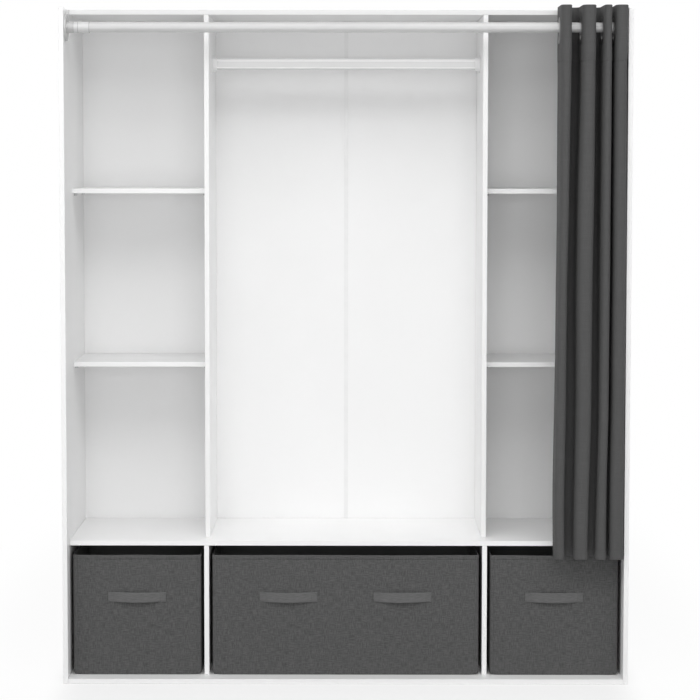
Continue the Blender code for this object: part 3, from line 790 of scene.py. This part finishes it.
def curtain_surface():
    """The whole cloth's middle surface, its normals, half thickness and UVs, and the columns of the seams."""
    heights = curtain_heights()
    rows = []
    for height in heights:
        row = [tail_row(0, height)[::-1]]
        for leg in range(7):
            row.append(fold_row(leg, height)[1:])
        row.append(tail_row(7, height)[1:])
        rows.append(np.concatenate(row))
    points = np.array(rows)
    fold_columns = points.shape[1] - 2 * (TAIL_COLUMNS - 1) - 1
    each = fold_columns // 7
    seams = [TAIL_COLUMNS - 1 + each * k for k in range(8)]
    along = np.gradient(points, axis=1)
    up = np.gradient(points, heights, axis=0)
    normals = np.cross(along, up)
    normals /= np.linalg.norm(normals, axis=2, keepdims=True)
    # The folds fall out of true a little: a soft unevenness, none where the rings hold the cloth
    steps = np.linalg.norm(np.diff(points, axis=1), axis=2)
    length = np.concatenate([np.zeros((len(rows), 1)), np.cumsum(steps, axis=1)], axis=1)
    along_uv = length[int(np.searchsorted(heights, RING_Z))]
    free = 1 - ease(heights, RING_Z - 100 * MM, RING_Z - 45 * MM)
    from_seam = np.min([np.abs(np.arange(points.shape[1]) - seam) for seam in seams], axis=0)
    loose = ease(from_seam, 2, 9)
    s, z = along_uv[None, :], heights[:, None]
    soft = (
        0.45 * np.sin(38 * s + 4.5 * z + 0.6 * np.sin(9 * z))
        + 0.30 * np.sin(71 * s - 9.0 * z)
        + 0.25 * np.sin(17 * s + 21 * z)
    )
    points = points + normals * (0.55 * MM * soft * free[:, None] * loose[None, :])[:, :, None]
    edge = np.minimum(along_uv, along_uv[-1] - along_uv)
    return heights, points, normals, half_thickness(heights, edge), along_uv, seams


def panel_mesh(name, points, normals, half, along_uv, heights, rings):
    """One closed piece of cloth from its middle surface. rings are places where the eyelets cut it."""
    count_rows, count_columns = points.shape[:2]
    front = points + normals * half[:, :, None]
    back = points - normals * half[:, :, None]
    verts = np.concatenate([front.reshape(-1, 3), back.reshape(-1, 3)])
    offset = count_rows * count_columns
    centre = (points[:-1, :-1] + points[1:, :-1] + points[:-1, 1:] + points[1:, 1:]) / 4
    kept = np.ones(centre.shape[:2], bool)
    for x in rings:
        near = np.hypot(centre[:, :, 1] - ROD_Y, centre[:, :, 2] - RING_Z) < HOLE_RADIUS
        kept &= ~(near & (np.abs(centre[:, :, 0] - x) < 2.0 * MM))
    faces, uvs, edges = [], [], {}

    def uv(index):
        index %= offset
        return (along_uv[index % count_columns], heights[index // count_columns])

    for r, c in zip(*np.nonzero(kept)):
        a = r * count_columns + c
        corners = (a, a + 1, a + count_columns + 1, a + count_columns)
        faces.append(corners)
        faces.append(tuple(offset + k for k in reversed(corners)))
        for pair in zip(corners, corners[1:] + corners[:1]):
            key = (min(pair), max(pair))
            if key in edges:
                del edges[key]
            else:
                edges[key] = pair
    for a, b in edges.values():
        faces.append((b, a, offset + a, offset + b))
    for face in faces:
        uvs.extend(uv(k) for k in face)
    used = np.unique(np.concatenate([np.array(face) for face in faces]))
    renumber = {int(old): new for new, old in enumerate(used)}
    faces = [tuple(renumber[int(k)] for k in face) for face in faces]
    return mesh_of(name, verts[used], faces, uvs)


def blend_planes(left, right):
    """The plateau and lean between two legs, so that both seams stay on their own rings."""
    heights = np.linspace(HEM, HEADER_TOP, 80)
    left_x = np.array([leg_x(left, h) for h in heights])
    right_x = np.array([leg_x(right, h) for h in heights])
    ring_left, ring_right = RINGS[left].x, RINGS[right].x
    seam_half = 1.9 * MM
    best = None
    for lean in np.linspace(-0.004, 0.014, 37):
        shift = lean * (heights - RING_Z)
        need = max(
            float(np.max(left_x + seam_half - ring_left - shift)) if left > 0 else seam_half,
            float(np.max(ring_right + shift - right_x + seam_half)) if right < 7 else seam_half,
        )
        if best is None or need < best[0]:
            best = (need, lean)
    return best


def make_curtain():
    """The cloth as seven folds, each from one ring to the next, and the seams between them lie on the legs.
    """
    heights, points, normals, half, along_uv, seams = curtain_surface()
    header_row, hem_row = (int(np.argmin(np.abs(heights - seam))) for seam in (HEADER_SEAM, HEM_SEAM))
    outside = points + normals * half[:, :, None]
    for fold in range(7):
        name = f"curtain_fold_{fold + 1}"
        first = 0 if fold == 0 else seams[fold]
        last = points.shape[1] - 1 if fold == 6 else seams[fold + 1]
        part = slice(first, last + 1)
        mesh = panel_mesh(
            name, points[:, part], normals[:, part], half[:, part],
            along_uv[part], heights, [RINGS[fold].x, RINGS[fold + 1].x],
        )
        cloth = finished(add_object(name, mesh), curtain_weave, sharp=55)
        paths = [(outside[row, part], normals[row, part]) for row in (header_row, hem_row)]
        side = None
        if fold == 0:
            side = int(np.argmin(np.abs(along_uv - 15 * MM)))
        elif fold == 6:
            side = int(np.argmin(np.abs(along_uv[-1] - along_uv - 15 * MM)))
        if side is not None:
            paths.append((outside[hem_row:, side], normals[hem_row:, side]))
        stitches = sewn(f"curtain_stitches_{fold + 1}", paths)
        plateau, lean = blend_planes(fold, fold + 1)
        right, left = RINGS[fold + 1].x, RINGS[fold].x
        start = Vector((right - plateau, ROD_Y, RING_Z))
        across = right - left - 2 * plateau
        normal = Vector((-1, 0, lean))
        end = start + normal * (across / (1 + lean * lean))
        for obj in (cloth, stitches):
            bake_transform(obj)
        flat = (float(along_uv[last] - along_uv[first]), float(heights[-1] - heights[0]))
        if fold == 0:
            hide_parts("curtain_cloth")


def make_eyelets():
    """Pressed metal rings, rolled over at the bore and domed to their rims, the same on both sides."""
    low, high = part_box("eyelet_1")
    half, outer = (high.x - low.x) / 2, (high.z - low.z) / 2
    bore = 22.0 * MM
    face = [
        (bore, 0.0), (bore, half - 1.1 * MM), (bore + 0.35 * MM, half - 0.35 * MM),
        (bore + 1.2 * MM, half - 0.02 * MM), (bore + 2.6 * MM, half), (bore + 4.5 * MM, half - 0.12 * MM),
        (outer - 3.2 * MM, half - 0.35 * MM), (outer - 1.2 * MM, half - 0.55 * MM),
        (outer - 0.25 * MM, half - 0.85 * MM), (outer, half - 1.05 * MM), (outer - 0.3 * MM, half - 1.2 * MM),
        (bore + 1.2 * MM, half - 1.2 * MM),
    ]
    ring = face + [(radius, -x) for radius, x in reversed(face[1:])]
    steps, count = 64, len(ring)
    faces = [
        (a * count + k, a * count + (k + 1) % count, b * count + (k + 1) % count, b * count + k)
        for a in range(steps) for b in [(a + 1) % steps] for k in range(count)
    ]
    for n, body in enumerate(RING_BODIES, 1):
        points = []
        for step in range(steps):
            angle = 2 * math.pi * step / steps
            for radius, x in ring:
                points.append((
                    RINGS[n - 1].x + x,
                    ROD_Y + radius * math.cos(angle),
                    RING_Z + radius * math.sin(angle),
                ))
        mesh = outward(mesh_of(f"pressed_eyelet_{n}", points, faces))
        obj = finished(add_object(f"pressed_eyelet_{n}", mesh), nickel, sharp=60)
        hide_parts(f"eyelet_{n}")
        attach(obj, body)


# ---------------------------------------------------------------- bins

BIN_WALL = 3.0 * MM
CORNER = 6.0 * MM
TOP_SEAM = 11.5 * MM
FOOT_ROUND = 6.5 * MM
INSIDE_ROUND = 2.4 * MM
# The corner welts' distance from where a wall's straight part begins
WELT = 3.0 * MM
WALL_ROWS, LINING_ROWS = 34, 24
# Where each bin's wrinkles start, so that no two bins are alike
BIN_SEEDS = {"left_bin": 0.0, "middle_bin": 1.9, "right_bin": 4.1}
STRAP_THICKNESS = 1.6 * MM
STRAP_RIBS = 7
# The length of each end of a strap that is sewn to its bin
SEWN_LENGTH = 16.0 * MM


def outline_stations(width, depth):
    """Stations round a bin's outline, rightwards from its front left corner.

    Each is (side, place along the side, share of the corner at its end).
    """
    stations = []
    for side, length in enumerate((width, depth, width, depth)):
        straight = length - 2 * CORNER
        marks = [0.0] + [WELT + step * MM for step in (-1.4, -0.6, 0.0, 0.6, 1.4)]
        inner = np.linspace(marks[-1] + 4 * MM, straight / 2, max(4, int(straight / 2 / (7 * MM))))
        half = marks + list(inner)
        for place in half + [straight - p for p in reversed(half[:-1])]:
            stations.append((side, place, 0.0))
        for k in range(1, 5):
            stations.append((side, straight, k / 5))
    return stations


def outline_point(station, low, high, inset):
    """The (x, y) and outward direction of a station, on the outline drawn in by inset."""
    side, place, corner = station
    radius = max(CORNER - inset, 0.6 * MM)
    angle = corner * math.pi / 2
    heading = Matrix.Rotation(side * math.pi / 2, 2)
    out = Vector((math.sin(angle), -math.cos(angle)))
    corners = (
        Vector((low.x + CORNER, low.y + CORNER)),
        Vector((high.x - CORNER, low.y + CORNER)),
        Vector((high.x - CORNER, high.y - CORNER)),
        Vector((low.x + CORNER, high.y - CORNER)),
    )
    out = heading @ out
    start = corners[side]
    if corner:
        base = corners[(side + 1) % 4]
    else:
        base = start + heading @ Vector((place, 0))
    return base + out * radius, out


def make_bin_shell(name):
    """An open sewn box: walls that belly out a little, seams at its corners, a turned and stitched rim."""
    low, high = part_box(name + "_shell")
    width, depth, tall = high.x - low.x, high.y - low.y, high.z - low.z
    stations = outline_stations(width, depth)
    lengths = (width - 2 * CORNER, depth - 2 * CORNER) * 2
    seed = BIN_SEEDS[name]

    def shape(station, z):
        """How far the wall stands out from its outline here, and how far its height is moved."""
        side, place, corner = station
        share = place / lengths[side] if not corner else 1.0
        arch = math.sin(math.pi * share) if not corner else 0.0
        up = z / tall
        full = (1.3 if side % 2 == 0 else 0.7) * MM
        belly = full * arch ** 0.8 * math.sin(math.pi * min(1, up * 1.05)) ** 0.7
        wave = 0.3 * full * arch * math.sin(9 * share + 5 * up + seed + side)
        wave += 0.2 * full * arch * math.sin(17 * share - 9 * up + 2 * seed)
        seam = 0.0
        for at in (WELT, lengths[side] - WELT):
            seam += 0.7 * MM * math.exp(-((place - at) / (0.7 * MM)) ** 2) if not corner else 0.0
        seam += 0.6 * MM * math.exp(-((z - (tall - TOP_SEAM)) / (0.8 * MM)) ** 2)
        seam -= 0.35 * MM if z > tall - TOP_SEAM else 0.0
        welt = 0.7 * MM if corner else 0.0
        sag = -1.0 * MM * arch * (0.5 + 0.5 * math.sin(3.1 * share * 3 + seed + side)) * max(0, up - 0.8) * 5
        return belly + wave - seam + welt, sag

    def foot_round(station):
        """The rounding of the bottom edge: larger at the corners, where the cloth is gathered."""
        side, place, corner = station
        away = 0.0 if corner else min(place, lengths[side] - place)
        return FOOT_ROUND * (0.2 + 0.8 * math.exp(-((away / (12 * MM)) ** 2)))

    levels = [("foot", k / 5 * math.pi / 2, 0.0) for k in range(6)]
    for z in np.linspace(FOOT_ROUND + 6 * MM, tall - TOP_SEAM - 5 * MM, WALL_ROWS):
        levels.append(("wall", 0.0, z))
    for step in (-2.0, -0.9, 0.0, 0.5, 1.2, 4.0, 8.0):
        levels.append(("wall", 0.0, tall - TOP_SEAM + step * MM))
    half = BIN_WALL / 2
    for k in range(7):
        angle = k / 6 * math.pi
        levels.append(("wall", half * (1 - math.cos(angle)), tall - half + half * math.sin(angle)))
    lining_row = len(levels)
    for z in np.linspace(tall - half - 4 * MM, BIN_WALL + 8 * MM, LINING_ROWS):
        levels.append(("wall", BIN_WALL, z))
    for k in range(5):
        angle = k / 4 * math.pi / 2
        across, down = INSIDE_ROUND * (1 - math.cos(angle)), INSIDE_ROUND * (1 - math.sin(angle))
        levels.append(("wall", BIN_WALL + across, BIN_WALL + down))
    points = []
    for kind, inset, z in levels:
        for station in stations:
            here, height = inset, z
            if kind == "foot":
                radius = foot_round(station)
                here, height = radius * (1 - math.sin(inset)), radius * (1 - math.cos(inset))
            base, out = outline_point(station, low, high, here)
            more, sag = shape(station, height)
            base = base + out * more * min(1.0, height / (14 * MM))
            points.append((base.x, base.y, low.z + height + sag * (1 if height > 0.5 * tall else 0)))
    count, rows = len(stations), len(levels)
    along = [0.0]
    for a in range(count):
        p, q = points[10 * count + a], points[10 * count + (a + 1) % count]
        along.append(along[-1] + math.dist(p[:2], q[:2]))
    up = [0.0]
    for r in range(rows - 1):
        up.append(up[-1] + math.dist(points[r * count + 20], points[(r + 1) * count + 20]))
    faces = ring_faces(rows, count)
    uvs = []
    for r in range(rows - 1):
        for a in range(count):
            uvs += [(along[i], up[j]) for i, j in ((a, r), (a + 1, r), (a + 1, r + 1), (a, r + 1))]
    for floor in (reversed(range(count)), range((rows - 1) * count, rows * count)):
        faces.append(tuple(floor))
        uvs += [points[k][:2] for k in faces[-1]]
    mesh = mesh_of(name + "_sewn_shell", points, faces, uvs)
    shell = finished(add_object(name + "_sewn_shell", mesh), bin_linen, sharp=50)
    mesh.materials.append(bin_lining)
    lined = np.zeros(len(faces), np.int32)
    lined[lining_row * count:-2] = 1
    lined[-1] = 1
    mesh.polygons.foreach_set("material_index", lined)
    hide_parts(name + "_shell")
    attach(shell, name)

    def seam_path(height, shift=0.0):
        points_here, outs = [], []
        for station in stations + stations[:1]:
            base, out = outline_point(station, low, high, 0.0)
            more, sag = shape(station, height)
            base = base + out * (more + shift)
            points_here.append((base.x, base.y, low.z + height + sag))
            outs.append((out.x, out.y, 0.0))
        return np.array(points_here), np.array(outs)

    path = seam_path(tall - TOP_SEAM + 2.2 * MM, 0.1 * MM)
    stitches = sewn(name + "_rim_stitches", [path], length=3.2 * MM, gap=1.6 * MM)
    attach(stitches, name)

    def front_face(x, z):
        """The front wall's outside at this place."""
        place = x - low.x - CORNER
        more, _ = shape((0, place, 0.0), z - low.z)
        return low.y - more

    return front_face


def make_strap(node, body, front_face):
    """A strap sewn flat at both ends: it stands off and sags between them."""
    low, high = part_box(node)
    centre = (low + high) / 2
    length, height = high.x - low.x, high.z - low.z
    reach = -(low.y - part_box(body + "_shell")[0].y) - 1.0 * MM
    xs = np.concatenate([
        np.linspace(-length / 2, -length / 2 + SEWN_LENGTH, 7),
        np.linspace(-length / 2 + SEWN_LENGTH, length / 2 - SEWN_LENGTH, 49)[1:-1],
        np.linspace(length / 2 - SEWN_LENGTH, length / 2, 7),
    ])
    section = []
    half_h, half_t = height / 2, STRAP_THICKNESS / 2
    rounding = half_t * 0.8
    face = height - 1.6 * half_t
    for way, start in ((1, 0.0), (-1, math.pi)):
        for k in range(9):
            section.append((way * half_t, way * (-half_h + rounding + face * k / 8)))
        for k in (1, 2, 3):
            angle = start + k / 4 * math.pi
            section.append((half_t * math.cos(angle), way * (half_h - rounding) + rounding * math.sin(angle)))
    flat = length / 2 - SEWN_LENGTH

    def surface(x, z_share):
        """The place of the strap's middle at x along it, z_share from -1 to 1 up it."""
        t = min(1.0, abs(x) / flat)
        slack = math.cos(t * math.pi / 2) ** 0.75 if t < 1 else 0.0
        drop = (-0.5 if z_share > 0 else -1.1) * MM * slack ** 1.3
        tilt = 1.6 * MM * slack * -z_share
        wall = front_face(centre.x + x, centre.z)
        near = wall - STRAP_THICKNESS / 2 - 0.15 * MM
        stand = (reach - 3.6 * MM) * slack
        return Vector((centre.x + x, near - stand - tilt, centre.z + drop))

    points, faces, uvs = [], [], []
    count = len(section)
    for x in xs:
        for out, up in section:
            middle = surface(x, up / half_h)
            rib = 0.0
            if abs(up) < half_h - half_t:
                rib = 0.12 * MM * math.cos(up / height * 2 * math.pi * STRAP_RIBS)
            points.append((middle.x, middle.y - out - math.copysign(rib, out), middle.z + up))
    for r in range(len(xs) - 1):
        for a in range(count):
            b = (a + 1) % count
            faces.append((r * count + a, (r + 1) * count + a, (r + 1) * count + b, r * count + b))
            for row, col in ((r, a), (r + 1, a), (r + 1, b), (r, b)):
                uvs.append((xs[row], section[col][1]))
    for row, order in ((0, range(count)), (len(xs) - 1, reversed(range(count)))):
        ring = [row * count + k for k in order]
        faces.append(tuple(ring))
        uvs += [(xs[row], section[k % count][1]) for k in ring]
    mesh = outward(mesh_of(node + "_strap", points, faces, uvs))
    strap = finished(add_object(node + "_strap", mesh), strap_weave, sharp=50)
    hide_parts(node)
    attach(strap, body)
    paths = []
    for side in (-1, 1):
        x0, x1 = side * (length / 2 - 2.2 * MM), side * (length / 2 - SEWN_LENGTH + 2.2 * MM)
        z0, z1 = -half_h + 2.4 * MM, half_h - 2.4 * MM
        loop = [(x0, z0), (x1, z0), (x1, z1), (x0, z1), (x0, z0)]
        for (xa, za), (xb, zb) in zip(loop, loop[1:]):
            line = []
            for t in np.linspace(0, 1, 9):
                x, z = xa + (xb - xa) * t, za + (zb - za) * t
                at = surface(x, z / half_h)
                line.append((at.x, at.y - half_t - 0.12 * MM, centre.z + z))
            paths.append((np.array(line), np.tile([0.0, -1.0, 0.0], (len(line), 1))))
    stitches = sewn(node + "_stitches", paths, length=2.6 * MM, gap=1.0 * MM, width=0.5 * MM)
    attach(stitches, body)


def make_bins():
    for body, straps in (
        ("left_bin", ["left_bin_handle"]),
        ("middle_bin", ["middle_bin_left_handle", "middle_bin_right_handle"]),
        ("right_bin", ["right_bin_handle"]),
    ):
        front_face = make_bin_shell(body)
        for node in straps:
            make_strap(node, body, front_face)


# ---------------------------------------------------------------- fasteners

# Halves of the fasteners' outlines, as (radius, place along the axis) in mm
CAP_PROFILE = ((0, -0.2), (5.6, -0.2), (6.0, 0.1), (5.7, 0.45), (4.6, 0.72), (2.4, 0.86), (0, 0.9))
PIN_PROFILE = (
    (0, -1.0), (2.5, -1.0), (2.5, 0.0), (3.6, 0.15), (3.7, 0.9), (2.6, 1.3), (2.5, 7.6), (2.1, 8.0), (0, 8.0),
)
NAIL_PROFILE = ((0, -1.2), (0.6, -1.2), (0.6, 0.05), (2.4, 0.1), (2.6, 0.3), (1.8, 0.55), (0, 0.6))
CARCASS_HALF = 0.7
NAIL_REACH = 0.66


def make_fasteners():
    """Caps over the assembly screws, pins under the shelves, nails in the back. All ride on the carcass."""
    places, turns = [], []
    for side, way in (("left", -1), ("right", 1)):
        for level in ("bottom", "middle", "top"):
            for end in ("front", "rear"):
                low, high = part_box(f"{side}_{level}_{end}_screw")
                places.append((way * CARCASS_HALF, (low.y + high.y) / 2, max((low.z + high.z) / 2, 6.2 * MM)))
                turns.append((0, 0, math.pi if way < 0 else 0))
    caps = repeat("screw_caps", turned_mesh("cap", CAP_PROFILE, 28), places, turns, white_plastic)
    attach(caps, "carcass")

    places, turns = [], []
    for side in ("left", "right"):
        for level in (1, 2):
            low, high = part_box(f"{side}_shelf_{level}")
            for x, way in ((low.x, 1), (high.x, -1)):
                for y in (low.y + 37 * MM, high.y - 37 * MM):
                    places.append((x - way * 0.3 * MM, y, low.z - 3.75 * MM))
                    turns.append((0, 0, 0 if way > 0 else math.pi))
    pins = repeat("shelf_pins", turned_mesh("pin", PIN_PROFILE, 18), places, turns, zinc)
    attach(pins, "carcass")

    back_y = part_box("left_back_sheet")[1].y
    places = []
    for board in ("bottom_board", "middle_board", "top_board"):
        low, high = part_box(board)
        for x in np.linspace(-NAIL_REACH, NAIL_REACH, 13):
            if abs(x) > 12 * MM:
                places.append((x, back_y, (low.z + high.z) / 2))
    for panel in ("left_side_panel", "right_side_panel", "left_divider", "right_divider"):
        low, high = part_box(panel)
        for z in np.linspace(max(low.z, 0.0) + 0.09, high.z - 0.09, 10 if "side" in panel else 8):
            places.append(((low.x + high.x) / 2, back_y, z))
    nail = turned_mesh("nail", NAIL_PROFILE, 12)
    nails = repeat("back_nails", nail, places, [(0, 0, math.pi / 2)] * len(places), zinc, scatter=0.05)
    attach(nails, "carcass")


# ---------------------------------------------------------------- floor, light and camera

WORLD_LIGHT = 0.3
LAMP_TARGET = Vector((0, 0, 0.85))
LAMP_DISTANCE = 5.5
# Name, azimuth and elevation in degrees, power in watts, width and height in metres
LAMPS = (
    ("low_front_softbox", 0, 0, 57, (3.2, 2.4)),
    ("high_front_softbox", 0, 53, 106, (3.2, 4.0)),
    ("left_softbox", -45, 40, 49, (3.2, 2.4)),
    ("right_softbox", 45, 40, 48, (3.2, 2.4)),
    ("rear_softbox", 180, 15, 55, (3.2, 2.4)),
)
FLOOR_REACH = 12
# Beside the object the floor fades from this far out, this much faster than before and behind it
FADE_FROM, FADE_SPEED = 0.62, 8.0
# How white the floor looks in itself: near the object, what is added where the shadow ends, and far away
NEAR_WHITE, BESIDE_WHITE, FAR_WHITE = 0.45, 0.48, 0.07


def make_floor():
    """A pale floor. Seen directly it fades to white away from the object, and keeps the object's shadow."""
    f = Finish("pale_floor")
    where = f.place()
    x, y, _ = f.parts(where)
    beside = FADE_SPEED * f.math("MAXIMUM", abs(x) - FADE_FROM, 0.0)
    away = (beside * beside + y * y).math("SQRT")
    fade = f.spread(away, 0.25, 1.0)
    speck = f.noise(where, 60.0, detail=3.0)
    base = f.shades(speck, 0.3, 0.7, 0.955, 0.962)
    diffuse = f.node("ShaderNodeBsdfDiffuse", sockets={"Color": base, "Roughness": 0.6})
    white = f.node("ShaderNodeEmission", sockets={"Color": WHITE, "Strength": 1.0})
    share = f.looked_at() * (NEAR_WHITE + BESIDE_WHITE * fade + FAR_WHITE * f.spread(away, 2.0, 4.5))
    mixed = f.node("ShaderNodeMixShader", sockets={0: share, 1: diffuse, 2: white})
    f.node("ShaderNodeOutputMaterial", sockets={"Surface": mixed})
    corners = [(x * FLOOR_REACH, y * FLOOR_REACH, 0) for x, y in ((-1, -1), (1, -1), (1, 1), (-1, 1))]
    mesh = mesh_of("floor", corners, [(0, 1, 2, 3)])
    mesh.materials.append(f.material)
    floor = add_object("floor", mesh)
    floor.location.z = -0.2 * MM


def make_world():
    """Even light from all round, seen as plain white."""
    world = bpy.data.worlds.new("studio")
    bpy.context.scene.world = world
    world.use_nodes = True
    w = Nodes(world.node_tree)
    light = w.node("ShaderNodeBackground", sockets={"Color": WHITE, "Strength": WORLD_LIGHT})
    white = w.node("ShaderNodeBackground", sockets={"Color": WHITE, "Strength": 1.0})
    mixed = w.node("ShaderNodeMixShader", sockets={0: w.looked_at(), 1: light, 2: white})
    w.node("ShaderNodeOutputWorld", sockets={"Surface": mixed})


def make_lights():
    """Soft boxes round the front, and one behind for the back."""
    for name, azimuth, elevation, power, size in LAMPS:
        a, e = math.radians(azimuth), math.radians(elevation)
        away = Vector((math.sin(a) * math.cos(e), -math.cos(a) * math.cos(e), math.sin(e)))
        lamp = bpy.data.lights.new(name, "AREA")
        lamp.shape = "RECTANGLE"
        lamp.size, lamp.size_y = size
        lamp.energy = power
        obj = add_object(name, lamp)
        obj.location = LAMP_TARGET + LAMP_DISTANCE * away
        obj.rotation_euler = (LAMP_TARGET - obj.location).to_track_quat("-Z", "Y").to_euler()


def make_camera():
    """The photograph's viewpoint, fitted to the boards' edges."""
    place = Vector((0.0103, -5.5632, 1.3210))
    pitch, yaw, roll = (math.radians(a) for a in (3.745, -0.109, 0.048))
    ahead = Vector((math.sin(yaw) * math.cos(pitch), math.cos(yaw) * math.cos(pitch), -math.sin(pitch)))
    right = Vector((math.cos(yaw), -math.sin(yaw), 0))
    up = right.cross(ahead)
    right, up = math.cos(roll) * right + math.sin(roll) * up, math.cos(roll) * up - math.sin(roll) * right
    data = bpy.data.cameras.new("camera")
    data.lens = 112.87
    data.sensor_width = 36
    data.shift_x, data.shift_y = 0.006, -0.08
    data.clip_start, data.clip_end = 0.1, 60
    camera = add_object("camera", data)
    turn = Matrix((right, up, -ahead)).transposed().to_4x4()
    camera.matrix_world = Matrix.Translation(place) @ turn
    bpy.context.scene.camera = camera


bpy.context.scene.view_settings.view_transform = "Standard"
finish_frame()
make_curtain()
make_eyelets()
make_bins()
make_fasteners()
make_floor()
make_world()
make_lights()
make_camera()
